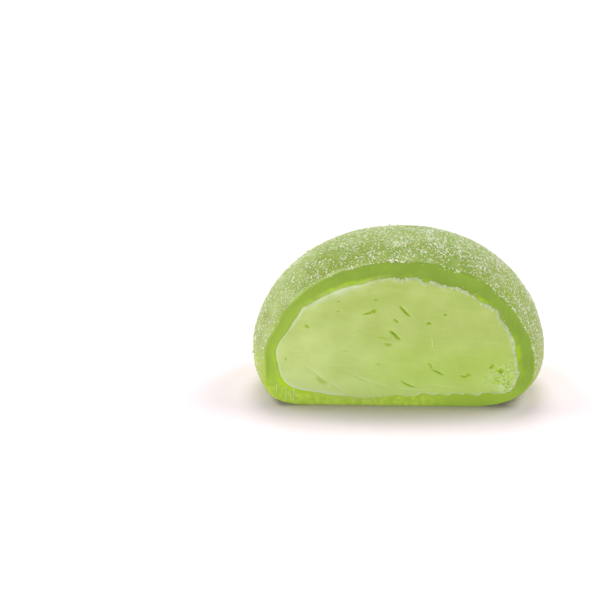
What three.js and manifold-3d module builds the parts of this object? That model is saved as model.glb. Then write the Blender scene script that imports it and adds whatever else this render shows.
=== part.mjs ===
// A green tea mochi cut through with a knife: a dome of soft rice dough round a matcha filling.
// Millimetres, +Z up. It stands on its flat base, and the cut face looks along -Y.
// The origin is on the base, in the middle of the cut piece.
import * as THREE from "three";
import { mergeVertices } from "three/addons/utils/BufferGeometryUtils.js";
import Module from "manifold-3d";

const wasm = await Module();
wasm.setup();

// The knife goes down in front of the dome's axis, so that the larger part is left.
const CUT_Y = -15.6;
const CUT_TO_AXIS = 8.6;
const AXIS_Y = CUT_Y + CUT_TO_AXIS;

// Rays from this point of the cut face meet each surface of the piece once.
const MIDDLE_HEIGHT = 8;
const MIDDLE = new THREE.Vector3(0, CUT_Y, MIDDLE_HEIGHT);
const LONGEST_RAY = 50;
const RAY_HALVINGS = 40;

// The dough as it was shaped by hand: a round dome with a full flank, tucked in under its widest level.
const DOUGH = {
  radius: 22.35,
  floor: 0,
  top: 24.4,
  widest: 6.3,
  footRadius: 15.2,
  crownPower: 2.19,
  footPower: 2.26,
  footShift: 0,
  leanRight: 0.4,
  leanBack: 1.3,
  tuckRight: 0.085,
  clearance: 0,
};

// The hollow in the dough, set a little to the right at its foot and to the left at its crown.
const HOLLOW = {
  radius: 20.25,
  floor: 1.7,
  top: 22.1,
  widest: 7.7,
  footRadius: 8,
  crownPower: 2.1,
  footPower: 4,
  footShift: 0.35,
  leanRight: -0.85,
  leanBack: 1.1,
  tuckRight: 0,
  clearance: 0,
};

// The filling has the hollow's shape, with a thin gap all round.
const FILLING_GAP = 0.3;
const FILLING = { ...HOLLOW, clearance: FILLING_GAP };

// Low swells left by the hands: the place of each round the cut, in degrees from +X upwards, its breadth and height.
const SWELLS = [
  { place: 172, breadth: 24, height: 0.14 },
  { place: 58, breadth: 18, height: 0.14 },
  { place: 28, breadth: 16, height: -0.2 },
];

// The knife rounds the dough's outer edge a little.
const EDGE_ROUNDING = 0.4;

// The torn rim of the filling is rounded back from the cut, with teeth of two sizes, counted round the cut.
const RIM_SETBACK = 0.3;
const TOOTH_DEPTH = 0.3;
const TOOTH_COUNTS = [11, 26];
const TOOTH_ONSET_POWER = 6;

// The knife leaves two sets of shallow ripples on the filling, in radians for each millimetre.
const RIPPLE_DEPTH = 0.1;
const RIPPLES = [
  { across: 0.55, up: 1.7 },
  { across: 1.1, up: -0.6 },
];

// Cracks and pits that the knife opened in the filling: place on the cut face, size, and turn in degrees.
const CRACKS = [
  { x: -4.5, z: 14.8, length: 2.1, width: 0.35, depth: 0.6, turn: 19 },
  { x: 0.9, z: 15.1, length: 2.4, width: 0.4, depth: 0.7, turn: -44 },
  { x: -0.4, z: 13.6, length: 1.1, width: 0.35, depth: 0.4, turn: -29 },
  { x: -0.5, z: 11.3, length: 2.4, width: 0.4, depth: 0.7, turn: -40 },
  { x: -1.6, z: 9.8, length: 1.1, width: 0.35, depth: 0.4, turn: -21 },
  { x: 4.8, z: 6.2, length: 1.4, width: 0.4, depth: 0.5, turn: -56 },
  { x: 6.4, z: 5.0, length: 1.7, width: 0.4, depth: 0.5, turn: -22 },
  { x: 10.7, z: 4.7, length: 1.9, width: 0.45, depth: 0.6, turn: 22 },
  { x: 15.3, z: 5.7, length: 1.5, width: 0.7, depth: 0.7, turn: 38 },
  { x: 1.4, z: 3.2, length: 2.6, width: 0.45, depth: 0.6, turn: -24 },
  { x: -11.5, z: 3.8, length: 2.1, width: 0.8, depth: 0.4, turn: -28 },
];

// Steps round the cut outline, and steps from the cut back to the far end.
const TURN_STEPS = 84;
const DOUGH_STEPS = 22;
const HOLLOW_STEPS = 16;

// The rings of the filling's face lie at these shares of the way from its middle to its rim.
const FACE_RINGS = [0.22, 0.44, 0.64, 0.8, 0.91, 0.97];

const DOUGH_COLOUR = "#a1b867";
const DOUGH_ROUGHNESS = 0.7;
const FILLING_COLOUR = "#b7c770";
const FILLING_ROUGHNESS = 0.6;

// Radius of a dome at a height, with all its surfaces drawn in by its clearance.
// Rightness goes from 1 at the dome's right to -1 at its left, and the foot is tucked in more at the right.
function domeRadius(dome, height, rightness) {
  const radius = dome.radius - dome.clearance;
  const foot = (dome.footRadius - dome.clearance) * (1 - dome.tuckRight * rightness);
  const top = dome.top - dome.clearance;
  const floor = dome.floor + dome.clearance;
  if (height >= dome.widest) {
    const rise = Math.min(1, (height - dome.widest) / (top - dome.widest));
    return radius * (1 - rise ** 2) ** (1 / dome.crownPower);
  }
  const drop = Math.min(1, (dome.widest - height) / (dome.widest - floor));
  return foot + (radius - foot) * (1 - drop ** dome.footPower) ** (1 / dome.footPower);
}

// True inside a dome, which leans as it rises.
function contains(dome, point) {
  const floor = dome.floor + dome.clearance;
  const top = dome.top - dome.clearance;
  if (point.z < floor || point.z > top) {
    return false;
  }
  const rise = (point.z - dome.floor) / (dome.top - dome.floor);
  const across = point.x - dome.footShift - dome.leanRight * rise;
  const back = point.y - AXIS_Y - dome.leanBack * rise;
  const distance = Math.hypot(across, back);
  return distance < domeRadius(dome, point.z, distance > 0 ? across / distance : 0);
}

// The point where a ray from the middle of the cut face leaves a dome.
// The turn goes round the cut face from +X upwards, and the tilt from the cut plane to straight back.
function surfacePoint(dome, turn, tilt) {
  const way = new THREE.Vector3(
    Math.cos(turn) * Math.cos(tilt),
    Math.sin(tilt),
    Math.sin(turn) * Math.cos(tilt),
  );
  let near = 0;
  let far = LONGEST_RAY;
  for (let halving = 0; halving < RAY_HALVINGS; halving += 1) {
    const halfway = (near + far) / 2;
    if (contains(dome, MIDDLE.clone().addScaledVector(way, halfway))) {
      near = halfway;
    } else {
      far = halfway;
    }
  }
  return MIDDLE.clone().addScaledVector(way, near);
}

// The height of the swells in one direction round the cut.
function swellAt(turn) {
  let total = 0;
  for (const { place, breadth, height } of SWELLS) {
    const away = THREE.MathUtils.radToDeg(turn) - place;
    const shortWay = THREE.MathUtils.euclideanModulo(away + 180, 360) - 180;
    total += height * Math.exp(-((shortWay / breadth) ** 2));
  }
  return total;
}

// The outside of the dough, with its swells, which fade out towards the back and never reach below the base.
function outerPoint(turn, tilt) {
  const point = surfacePoint(DOUGH, turn, tilt);
  const outwards = point.clone().sub(MIDDLE).normalize();
  point.addScaledVector(outwards, swellAt(turn) * Math.cos(tilt) ** 2);
  point.z = Math.max(point.z, DOUGH.floor);
  return point;
}

// One ring of points round the cut's direction.
function ring(pointAt) {
  return Array.from({ length: TURN_STEPS }, (_, step) => pointAt((2 * Math.PI * step) / TURN_STEPS));
}

// The rings of a surface from behind the cut plane to just before the far end.
function ringsBehindCut(pointAt, steps) {
  const rings = [];
  for (let step = 1; step < steps; step += 1) {
    const tilt = (Math.PI / 2) * (step / steps);
    rings.push(ring((turn) => pointAt(turn, tilt)));
  }
  return rings;
}

// A closed surface through a first point, a row of rings and a last point.
function loft(first, rings, last) {
  const points = [first, ...rings.flat(), last];
  const triangles = [];
  const end = points.length - 1;
  const at = (row, step) => 1 + row * TURN_STEPS + (step % TURN_STEPS);
  for (let step = 0; step < TURN_STEPS; step += 1) {
    triangles.push(0, at(0, step), at(0, step + 1));
    for (let row = 1; row < rings.length; row += 1) {
      triangles.push(at(row - 1, step), at(row, step), at(row, step + 1));
      triangles.push(at(row - 1, step), at(row, step + 1), at(row - 1, step + 1));
    }
    triangles.push(at(rings.length - 1, step), end, at(rings.length - 1, step + 1));
  }
  return new THREE.BufferGeometry().setFromPoints(points).setIndex(triangles);
}

// The dough: a cup open at the cut, with the hollow inside, the cut ring and the dome outside.
function makeDough() {
  const innerPoint = (turn, tilt) => surfacePoint(HOLLOW, turn, tilt);
  const cutEdge = ring((turn) => {
    const edge = outerPoint(turn, 0);
    const inwards = MIDDLE.clone().sub(edge).normalize();
    return edge.addScaledVector(inwards, EDGE_ROUNDING);
  });
  const shoulder = ring((turn) => {
    const reach = outerPoint(turn, 0).distanceTo(MIDDLE);
    return outerPoint(turn, EDGE_ROUNDING / reach);
  });
  const rings = [
    ...ringsBehindCut(innerPoint, HOLLOW_STEPS).reverse(),
    ring((turn) => innerPoint(turn, 0)),
    cutEdge,
    shoulder,
    ...ringsBehindCut(outerPoint, DOUGH_STEPS),
  ];
  return loft(innerPoint(0, Math.PI / 2), rings, outerPoint(0, Math.PI / 2));
}

// How far a point of the filling's cut face lies behind the cut plane.
function rippleAt(x, z) {
  let depth = 0;
  for (const { across, up } of RIPPLES) {
    depth += (RIPPLE_DEPTH * (1 + Math.sin(across * x + up * z))) / (2 * RIPPLES.length);
  }
  return depth;
}

// How far the torn rim is notched inwards at one direction round the cut.
function toothAt(turn) {
  let notch = 0;
  for (const count of TOOTH_COUNTS) {
    notch += (TOOTH_DEPTH * (1 + Math.sin(count * turn))) / (2 * TOOTH_COUNTS.length);
  }
  return notch;
}

// The filling: the cut face with its torn rim in front, and the rounded body behind it.
function makeFilling() {
  const bodyPoint = (turn, tilt) => surfacePoint(FILLING, turn, tilt);
  const facePoint = (turn, share) => {
    const toRim = bodyPoint(turn, 0).sub(MIDDLE);
    const notch = toothAt(turn) * share ** TOOTH_ONSET_POWER;
    const point = MIDDLE.clone().addScaledVector(toRim, share * (1 - notch / toRim.length()));
    point.y += rippleAt(point.x, point.z);
    return point;
  };
  const rim = ring((turn) => {
    const reach = bodyPoint(turn, 0).distanceTo(MIDDLE);
    return bodyPoint(turn, RIM_SETBACK / reach);
  });
  const rings = [
    ...FACE_RINGS.map((share) => ring((turn) => facePoint(turn, share))),
    rim,
    ...ringsBehindCut(bodyPoint, HOLLOW_STEPS),
  ];
  return loft(facePoint(0, 0), rings, bodyPoint(0, Math.PI / 2));
}

// A closed geometry as a solid that can be cut.
function solidOf(geometry) {
  const bare = geometry.clone();
  bare.deleteAttribute("normal");
  bare.deleteAttribute("uv");
  const merged = mergeVertices(bare);
  return new wasm.Manifold(
    new wasm.Mesh({
      numProp: 3,
      vertProperties: new Float32Array(merged.attributes.position.array),
      triVerts: new Uint32Array(merged.index.array),
    }),
  );
}

// A crack is a canoe-shaped notch, deepest in the middle and pointed at both ends.
function crackSolid({ x, z, length, width, depth, turn }) {
  const canoe = new THREE.OctahedronGeometry(1);
  canoe.scale(length / 2, depth, width / 2);
  canoe.rotateY(-THREE.MathUtils.degToRad(turn));
  canoe.translate(x, CUT_Y, z);
  return solidOf(canoe);
}

// The filling with all its cracks cut.
function makeCrackedFilling() {
  let solid = solidOf(makeFilling());
  for (const crack of CRACKS) {
    solid = solid.subtract(crackSolid(crack));
  }
  const { vertProperties, triVerts } = solid.getMesh();
  return new THREE.BufferGeometry()
    .setAttribute("position", new THREE.BufferAttribute(vertProperties, 3))
    .setIndex(new THREE.BufferAttribute(triVerts, 1));
}

function namedMesh(name, geometry, color, roughness) {
  geometry.computeVertexNormals();
  const material = new THREE.MeshStandardMaterial({ color, roughness, metalness: 0 });
  const mesh = new THREE.Mesh(geometry, material);
  mesh.name = name;
  return mesh;
}

const mochi = new THREE.Group();
mochi.add(namedMesh("mochi_skin", makeDough(), DOUGH_COLOUR, DOUGH_ROUGHNESS));
mochi.add(namedMesh("matcha_filling", makeCrackedFilling(), FILLING_COLOUR, FILLING_ROUGHNESS));

export default mochi;
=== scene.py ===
import bpy
import numpy as np
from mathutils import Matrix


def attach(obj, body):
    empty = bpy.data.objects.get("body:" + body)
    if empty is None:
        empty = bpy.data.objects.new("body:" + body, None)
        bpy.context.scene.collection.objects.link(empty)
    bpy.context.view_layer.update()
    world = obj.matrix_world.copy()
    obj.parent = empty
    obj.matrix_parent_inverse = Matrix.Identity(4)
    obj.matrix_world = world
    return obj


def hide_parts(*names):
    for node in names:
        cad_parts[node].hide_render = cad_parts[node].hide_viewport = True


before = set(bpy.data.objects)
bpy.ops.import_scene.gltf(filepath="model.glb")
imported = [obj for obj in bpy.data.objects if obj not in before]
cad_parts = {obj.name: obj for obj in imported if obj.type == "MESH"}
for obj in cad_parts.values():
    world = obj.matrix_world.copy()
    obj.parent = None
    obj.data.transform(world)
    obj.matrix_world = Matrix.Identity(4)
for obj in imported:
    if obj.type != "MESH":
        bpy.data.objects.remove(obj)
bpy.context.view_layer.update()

# A green tea mochi cut through with a knife. It stands on its flat base, and the cut face looks along -Y.
# Shapes are worked out in millimetres and written into the meshes in metres.


# --------------------
# The dough: steamed and pounded rice dough, coloured with green tea and soft enough to sag.
# It was closed by hand round the filling and set down on its foot. The knife left it as a thick cup,
# open at the cut, with a smooth moist ring where the cut shows its thickness.
MILLIMETRE = 0.001
CUT_Y = -15.6
AXIS_Y = -7.0
MIDDLE = np.array([0.0, CUT_Y, 8.0])
LONGEST_RAY = 50.0
RAY_HALVINGS = 40

DOUGH = dict(
    radius=22.35, floor=0.0, top=24.4, widest=6.3,
    foot=15.2, crown_power=2.19, foot_power=2.26, foot_shift=0.0,
    lean_right=0.4, lean_back=1.3, tuck_right=0.085,
)
HOLLOW = dict(
    radius=20.25, floor=1.7, top=22.1, widest=7.7,
    foot=8.0, crown_power=2.1, foot_power=4.0, foot_shift=0.35,
    lean_right=-0.85, lean_back=1.1, tuck_right=0.0,
)

# Each list of bumps round the cut gives the place of each in degrees from +X upwards, its breadth in
# degrees and its height. These are the swells of the outside, and dents and swells of the cut edge alone.
OUTER_SWELLS = [(172, 24, 0.14), (58, 18, 0.14), (28, 16, -0.2)]
EDGE_SWELLS = [
    (166, 6, -0.3), (186, 6, -0.3), (199, 6, 0.45), (223, 8, 0.25),
    (26, 5, 0.25), (42, 5, 0.2), (71, 5, 0.2), (2, 6, 0.15),
]
# Dents and flaps of the torn rim of the filling, against the round hollow.
RIM_SWELLS = [
    (6, 6, -0.4), (20, 4, -0.4), (27, 4, 0.3), (36, 5, -0.15), (51, 4, 0.15), (58, 4, -0.3), (66, 3, -0.15),
    (72, 3, -0.6), (88, 3, -0.4), (114, 10, -0.35), (139, 30, -0.55), (153, 3, 0.3), (165, 8, -0.35),
    (178, 7, 0.6), (206, 7, -0.3), (212, 5, 0.25), (230, 12, 0.6), (246, 9, 0.3), (282, 5, 0.15),
    (303, 6, -0.4), (316, 4, -0.35), (325, 2, -0.45), (330, 2, -0.6), (332.5, 1.2, 0.2), (336, 1.8, -0.65),
    (341, 4, 0.6), (352, 2, 0.25), (358, 5, -0.45),
]
# How deep the small teeth of the torn rim are at each place, from root to tip.
RIM_TEETH = [
    (80, 30, 0.4), (38, 10, 0.6), (5, 22, 0.7), (343, 10, 0.4),
    (318, 22, 0.8), (240, 25, 0.15), (145, 20, 0.15), (160, 14, 0.3),
]
# The teeth are drawn in layers: the share of each, how many it has round the cut, and its seed.
TOOTH_LAYERS = [(0.3, 52, 41), (0.5, 100, 42), (0.2, 240, 43)]
HOLLOW_SMOOTHING = 3.5
# The swells die away behind the cut as these powers of the cosine of the tilt.
OUTER_FADE = 2
EDGE_FADE = 60
RIM_FADE = 30
# The uneven outside in layers of hills: the height of each, its breadth and its seed. The foot is even.
OUTSIDE_HILLS = [(0.04, 6.0, 11), (0.014, 2.2, 12), (0.006, 0.9, 13)]
EVEN_FOOT = (0.1, 2.5)

# Where the dough next to the filling is thin and wet, a bright yellow green glow of the light that would
# shine through it is painted on.
WET_PLACES = [
    (1, 10, 0.5), (36, 5, 0.45), (72, 3, 0.5), (85, 5, 0.35), (116, 7, 0.4),
    (133, 16, 0.5), (180, 8, 0.3), (194, 6, 0.9), (201, 5, 0.9), (210, 7, 0.5),
]
WET_BREADTH = 0.85
WET_WIDENING = [(1, 12, 0.35), (203, 12, 0.5), (126, 18, 0.25)]
# Where the knife smeared filling over the ring of dough, and where the ring is painted lighter at the left,
# as painted light.
SMEARED_PLACES = [(218, 14, 1.0), (246, 14, 0.7), (114, 15, 0.75), (142, 13, 0.5)]
SMEAR_BREADTH = 1.2
SMEAR_NARROWING = [(114, 30, 0.5)]
MOIST_PLACES = [(178, 36, 0.72)]
# A film of damp starch behind the cut edge.
EDGE_FILM = [(130, 22, 0.7)]
ALONG_BASE = [(270, 50, 1.0)]

EDGE_ROUNDING = 0.24
BASE_ROUNDING = 0.08
GROOVE_DEPTH = 0.02
GROOVE_WIDTH = 0.1
WET_GROOVE_WIDTH = 0.3
RING_DEPTH = 0.04
RING_SAG = 0.05
RING_HILLS = [(0.018, 2.6, 14)]

DOUGH_TURNS = 720
WALL_ROWS = 10
GROOVE_ROWS = 6
RING_ROWS = 26
EDGE_ROWS = 6
OUTSIDE_ROWS = 88
# The tilts of the first rows of the hollow behind the cut.
FIRST_TILT = 0.07
SECOND_TILT = 0.14


def dome_radius(dome, height, rightness):
    """Radius of a dome at each height. Above the widest level it is one superellipse up to the top,
    and below it another one down to the foot, which is tucked in more where rightness is 1."""
    foot = dome["foot"] * (1 - dome["tuck_right"] * rightness)
    rise = np.clip((height - dome["widest"]) / (dome["top"] - dome["widest"]), 0, 1)
    drop = np.clip((dome["widest"] - height) / (dome["widest"] - dome["floor"]), 0, 1)
    above = dome["radius"] * (1 - rise**2) ** (1 / dome["crown_power"])
    below = foot + (dome["radius"] - foot) * (1 - drop ** dome["foot_power"]) ** (1 / dome["foot_power"])
    return np.where(height >= dome["widest"], above, below)


def beyond_side(dome, points):
    """How far points lie outside a dome's side: their distance from its leaning axis, less its radius."""
    rise = (points[..., 2] - dome["floor"]) / (dome["top"] - dome["floor"])
    across = points[..., 0] - dome["foot_shift"] - dome["lean_right"] * rise
    back = points[..., 1] - AXIS_Y - dome["lean_back"] * rise
    distance = np.hypot(across, back)
    return distance - dome_radius(dome, points[..., 2], across / np.maximum(distance, 1e-9))


def round_trip(count):
    """So many angles, evenly spaced once round."""
    return np.linspace(0, 2 * np.pi, count, endpoint=False)


def join(*parts):
    """Arrays and numbers, spread to one shape and joined along a new last axis."""
    return np.stack(np.broadcast_arrays(*parts), -1)


def ray_way(turn, tilt):
    """Unit directions: turn goes round the cut face from +X upwards, tilt from the cut to straight back."""
    return join(np.cos(turn) * np.cos(tilt), np.sin(tilt), np.sin(turn) * np.cos(tilt))


def dome_reach(dome, turn, tilt, clearance=0.0):
    """How far each ray from the middle of the cut face goes before it leaves a dome, by halving the doubt."""
    way = ray_way(turn, tilt)
    near = np.zeros(way.shape[:-1])
    far = np.full(way.shape[:-1], LONGEST_RAY)
    for _ in range(RAY_HALVINGS):
        halfway = (near + far) / 2
        points = MIDDLE + way * halfway[..., None]
        height = points[..., 2]
        inside = (height > dome["floor"]) & (height < dome["top"]) & (beyond_side(dome, points) < 0)
        near = np.where(inside, halfway, near)
        far = np.where(inside, far, halfway)
    return near - clearance


def bell(value, middle, breadth):
    """1 at the middle, and less to both sides, as the bell curve of the distance in breadths."""
    return np.exp(-(((value - middle) / breadth) ** 2))


def bumps(turn, places):
    """The sum of bell-shaped bumps round the cut, from a list of their places, breadths and heights."""
    total = np.zeros(np.shape(turn))
    for place, breadth, height in places:
        total += height * bell((np.degrees(turn) - place + 180) % 360, 180, breadth)
    return total


def hills(points, size, seed, waves=28):
    """Soft random hills about one high: plane waves with wavelengths near size, random ways and phases."""
    draw = np.random.default_rng(seed)
    ways = draw.normal(size=(waves, 3))
    lengths = np.linalg.norm(ways, axis=1, keepdims=True)
    ways *= (2 * np.pi / size) * draw.uniform(0.65, 1.5, (waves, 1)) / lengths
    phases = draw.uniform(0, 2 * np.pi, waves)
    total = np.zeros(points.shape[:-1])
    for way, phase in zip(ways, phases):
        total += np.sin(points @ way + phase)
    return total / np.sqrt(waves / 2)


def layered_hills(points, layers):
    """Random hills on top of each other, from the height, the size and the seed of each layer."""
    return sum(height * hills(points, size, seed) for height, size, seed in layers)


def ragged(turn, count, seed):
    """Random heights from 0 to 1 at evenly spaced places round the cut, joined by straight lines."""
    heights = np.random.default_rng(seed).uniform(0, 1, count)
    places = np.arange(count + 1) * 2 * np.pi / count
    return np.interp(np.mod(turn, 2 * np.pi), places, np.append(heights, heights[0]))


def rising(value, low, high):
    """0 below low, 1 above high, and a smooth S between them."""
    share = np.clip((value - low) / (high - low), 0, 1)
    return share * share * (3 - 2 * share)


def falling(value, low, high):
    """1 below low, 0 above high, and a smooth S between them."""
    return 1 - rising(value, low, high)


def outside_points(turn, tilt):
    """The outside of the dough: the dome, with its swells near the cut and a fine unevenness off the base."""
    way = ray_way(turn, tilt)
    points = MIDDLE + way * dome_reach(DOUGH, turn, tilt)[..., None]
    lift = bumps(turn, OUTER_SWELLS) * np.cos(tilt) ** OUTER_FADE
    lift = lift + bumps(turn, EDGE_SWELLS) * np.cos(tilt) ** EDGE_FADE
    lift = lift + layered_hills(points, OUTSIDE_HILLS) * rising(points[..., 2], *EVEN_FOOT)
    points = points + way * lift[..., None]
    points[..., 2] = np.maximum(points[..., 2], 0.0)
    return points


def rim_offset(turn):
    """How far the torn rim lies outside the round hollow: its dents and flaps, and small random teeth."""
    teeth = sum(share * ragged(turn, count, seed) for share, count, seed in TOOTH_LAYERS)
    return bumps(turn, RIM_SWELLS) + bumps(turn, RIM_TEETH) * (teeth - 0.5)


def hollow_points(turn, tilt, clearance=0.0):
    """The hollow in the dough, which is also the filling's side: the inner dome, led near the cut to the
    outline of the rim, smoothed by a bell-shaped mean over a few degrees."""
    shifts = np.linspace(-2, 2, 9)
    weights = bell(shifts, 0, 1) / bell(shifts, 0, 1).sum()
    turned = [turn + np.radians(HOLLOW_SMOOTHING * shift) for shift in shifts]
    outline = sum(weight * rim_offset(place) for weight, place in zip(weights, turned))
    reach = dome_reach(HOLLOW, turn, tilt, clearance) + outline * np.cos(tilt) ** RIM_FADE
    return MIDDLE + ray_way(turn, tilt) * reach[..., None]


def rim_reach(turn):
    """How far the torn rim lies from the middle of the cut face."""
    return dome_reach(HOLLOW, turn, 0.0) + rim_offset(turn)


def loft_faces(rows, steps):
    """Faces that close a surface: a first point, rows of points round it, and a last point."""
    step = np.arange(steps)
    following = (step + 1) % steps
    row = 1 + steps * np.arange(rows - 1)[:, None]
    quads = join(row + step, row + steps + step, row + steps + following, row + following)
    last_row = 1 + steps * (rows - 1)
    first_fan = join(0, 1 + step, 1 + following)
    last_fan = join(last_row + step, last_row + steps, last_row + following)
    return [quads.reshape(-1, 4), first_fan, last_fan]


SHARP_EDGE = np.radians(48)


def make_mesh(name, points, faces, material, **attributes):
    """A smooth piece from points in millimetres, arrays of faces, and a number a point for each attribute."""
    mesh = bpy.data.meshes.new(name)
    corners = points.reshape(-1, 3) * MILLIMETRE
    mesh.from_pydata(corners.tolist(), [], [face for rows in faces for face in rows.tolist()])
    mesh.shade_smooth()
    mesh.set_sharp_from_angle(angle=SHARP_EDGE)
    for attribute, values in attributes.items():
        layer = mesh.attributes.new(attribute, "FLOAT", "POINT")
        layer.data.foreach_set("value", np.asarray(values, np.float32).ravel())
    mesh.materials.append(material)
    piece = bpy.data.objects.new(name, mesh)
    bpy.context.scene.collection.objects.link(piece)
    return piece


def paint(code):
    """A colour written as in a paint chart, as the linear numbers that a shader takes."""
    parts = [int(code[i : i + 2], 16) / 255 for i in (1, 3, 5)]
    return [part / 12.92 if part <= 0.04045 else ((part + 0.055) / 1.055) ** 2.4 for part in parts] + [1.0]


def connect(tree, node, inputs):
    """Sets each input of a node, by its name or number, to a value, or links it to an output."""
    for name, value in inputs.items():
        if isinstance(value, bpy.types.NodeSocket):
            tree.links.new(value, node.inputs[name])
        else:
            node.inputs[name].default_value = value


def add_node(tree, kind, inputs, **settings):
    """A new shader node of a kind, with its settings and inputs."""
    node = tree.nodes.new("ShaderNode" + kind)
    for setting, value in settings.items():
        setattr(node, setting, value)
    connect(tree, node, inputs)
    return node


def start_material(name, roughness, softness, light_reach, sheen):
    """A soft food material. Softness is the share of light that goes under the surface, as far in
    millimetres as light_reach says for red, green and blue."""
    material = bpy.data.materials.new(name)
    material.use_nodes = True
    looks = {
        "Roughness": roughness,
        "IOR": 1.42,
        "Specular IOR Level": 0.25,
        "Subsurface Weight": softness,
        "Subsurface Radius": light_reach,
        "Subsurface Scale": MILLIMETRE,
        "Sheen Weight": sheen,
        "Sheen Roughness": 0.4,
    }
    connect(material.node_tree, material.node_tree.nodes["Principled BSDF"], looks)
    return material, material.node_tree


def grain(tree, size, detail, stretch=(1, 1, 1), turn=(0, 0, 0)):
    """Noise with grains of about size millimetres, stretched by numbers below 1 along an axis, and turned."""
    place = add_node(tree, "TexCoord", {}).outputs["Object"]
    scale = [size * MILLIMETRE / part for part in stretch]
    lie = {"Vector": place, "Rotation": turn, "Scale": scale}
    place = add_node(tree, "Mapping", lie, vector_type="TEXTURE").outputs["Vector"]
    return add_node(tree, "TexNoise", {"Vector": place, "Scale": 1.0, "Detail": detail}).outputs["Fac"]


def patches(tree, size, detail, low, high, **lie):
    """Soft random patches: 0 where the grain is below low, and 1 where it is above high."""
    limits = {"Value": grain(tree, size, detail, **lie), "From Min": low, "From Max": high}
    return add_node(tree, "MapRange", limits).outputs["Result"]


def times(tree, *factors):
    """The product of two factors. Each is a number, an output or the name of an attribute of the mesh."""
    inputs = {}
    for place, factor in enumerate(factors):
        if isinstance(factor, str):
            factor = add_node(tree, "Attribute", {}, attribute_name=factor).outputs["Fac"]
        inputs[place] = factor
    return add_node(tree, "Math", inputs, operation="MULTIPLY").outputs["Value"]


def blend(tree, colour, *layers):
    """A colour, and others over it in turn. A layer gives its colour, its share of the mix and, if it is
    weaker, its strength. A colour is written as in a paint chart or is an output, and a share is an output
    or the name of an attribute."""
    for over, share, *strength in layers:
        under, over = (paint(part) if isinstance(part, str) else part for part in (colour, over))
        inputs = {0: times(tree, share, *strength or [1.0]), 6: under, 7: over}
        colour = add_node(tree, "Mix", inputs, data_type="RGBA").outputs[2]
    return colour


def finish_material(tree, colour, relief_size=None, relief_depth=0.0, detail=2.0):
    """Gives a material its colour, and a fine relief as deep in millimetres as relief_depth."""
    looks = {"Base Color": colour}
    if relief_size:
        relief = {"Height": grain(tree, relief_size, detail), "Distance": relief_depth * MILLIMETRE}
        looks["Normal"] = add_node(tree, "Bump", relief).outputs["Normal"]
    connect(tree, tree.nodes["Principled BSDF"], looks)


turn = round_trip(DOUGH_TURNS)
outwards = ray_way(turn, 0.0)
inner_reach = rim_reach(turn)
outer_reach = np.linalg.norm(outside_points(turn, 0.0) - MIDDLE, axis=-1)
wetness = np.clip(bumps(turn, WET_PLACES) * (0.55 + 0.9 * ragged(turn, 150, 21)), 0, 1)
groove_width = GROOVE_WIDTH + WET_GROOVE_WIDTH * wetness
rounding = EDGE_ROUNDING + (BASE_ROUNDING - EDGE_ROUNDING) * bumps(turn, ALONG_BASE)

wall_tilts = np.linspace(np.pi / 2, SECOND_TILT, WALL_ROWS, endpoint=False)[1:]
wall = hollow_points(turn, np.append(wall_tilts, FIRST_TILT)[:, None])

across_groove = np.linspace(0, 1, GROOVE_ROWS)[:, None]
groove_reach = inner_reach + groove_width * across_groove
groove = MIDDLE + outwards * groove_reach[..., None]
groove[..., 1] += RING_DEPTH + GROOVE_DEPTH * falling(across_groove, 0.1, 1.0)

across_ring = np.linspace(0, 1, RING_ROWS + 1)[1:, None]
ring_start = inner_reach + groove_width
ring_reach = ring_start + (outer_reach - rounding - ring_start) * across_ring
ring = MIDDLE + outwards * ring_reach[..., None]
ring_bow = np.sin(np.pi * across_ring)
ring_waves = (layered_hills(ring, RING_HILLS) + RING_SAG) * ring_bow
ring[..., 1] += RING_DEPTH * falling(across_ring, 0.7, 1.0) + ring_waves

round_edge = np.linspace(0, np.pi / 2, EDGE_ROWS + 1)[1:, None]
edge_depth = rounding * (1 - np.cos(round_edge))
edge = outside_points(turn, np.arctan(edge_depth / outer_reach))
edge = edge - outwards * (rounding * (1 - np.sin(round_edge)))[..., None]

edge_tilt = np.arctan(rounding / outer_reach)
outside_share = np.linspace(0, 1, OUTSIDE_ROWS + 2)[1:-1, None]
outside = outside_points(turn, edge_tilt + (np.pi / 2 - edge_tilt) * outside_share)

dough_rows = np.concatenate([wall, groove, ring, edge, outside])
inner_end = hollow_points(np.zeros(1), np.pi / 2)
outer_end = outside_points(np.zeros(1), np.pi / 2)
dough_points = np.concatenate([inner_end, dough_rows.reshape(-1, 3), outer_end])

# The looks of the dough, from 0 to 1 at each point: a painted glow at the filling where the dough is thin and
# wet, smeared with filling, painted light at the left, drawn into strokes by the knife, and painted light and
# mottles on the base.
dough_x = dough_rows[..., 0]
dough_z = dough_rows[..., 2]
behind_cut = dough_rows[..., 1] - CUT_Y
from_filling = np.linalg.norm(dough_rows - MIDDLE, axis=-1) - inner_reach
broken_up = np.clip(0.88 + 0.28 * hills(dough_rows, 1.5, 17), 0, 1)
# The painted glow: bright yellow green next to the filling, broken up, fading behind the cut and away from
# the filling.
wet = wetness * broken_up * falling(behind_cut, 1.0, 2.0)
wet = wet * falling(from_filling, 0.35, WET_BREADTH + bumps(turn, WET_WIDENING))
smear = np.clip(bumps(turn, SMEARED_PLACES), 0, 1) * np.clip(0.75 + 0.3 * hills(dough_rows, 1.6, 16), 0, 1)
smear = smear * falling(from_filling, 0.2, SMEAR_BREADTH - bumps(turn, SMEAR_NARROWING))
# Painted light: the ring lighter at the left, a little less away from the filling.
moist = np.clip(bumps(turn, MOIST_PLACES), 0, 1) * (1 - 0.3 * rising(from_filling, 0.4, 2.6))
drawn = np.broadcast_to(ragged(turn, 360, 22) * ragged(turn, 60, 23), wet.shape)
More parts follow.
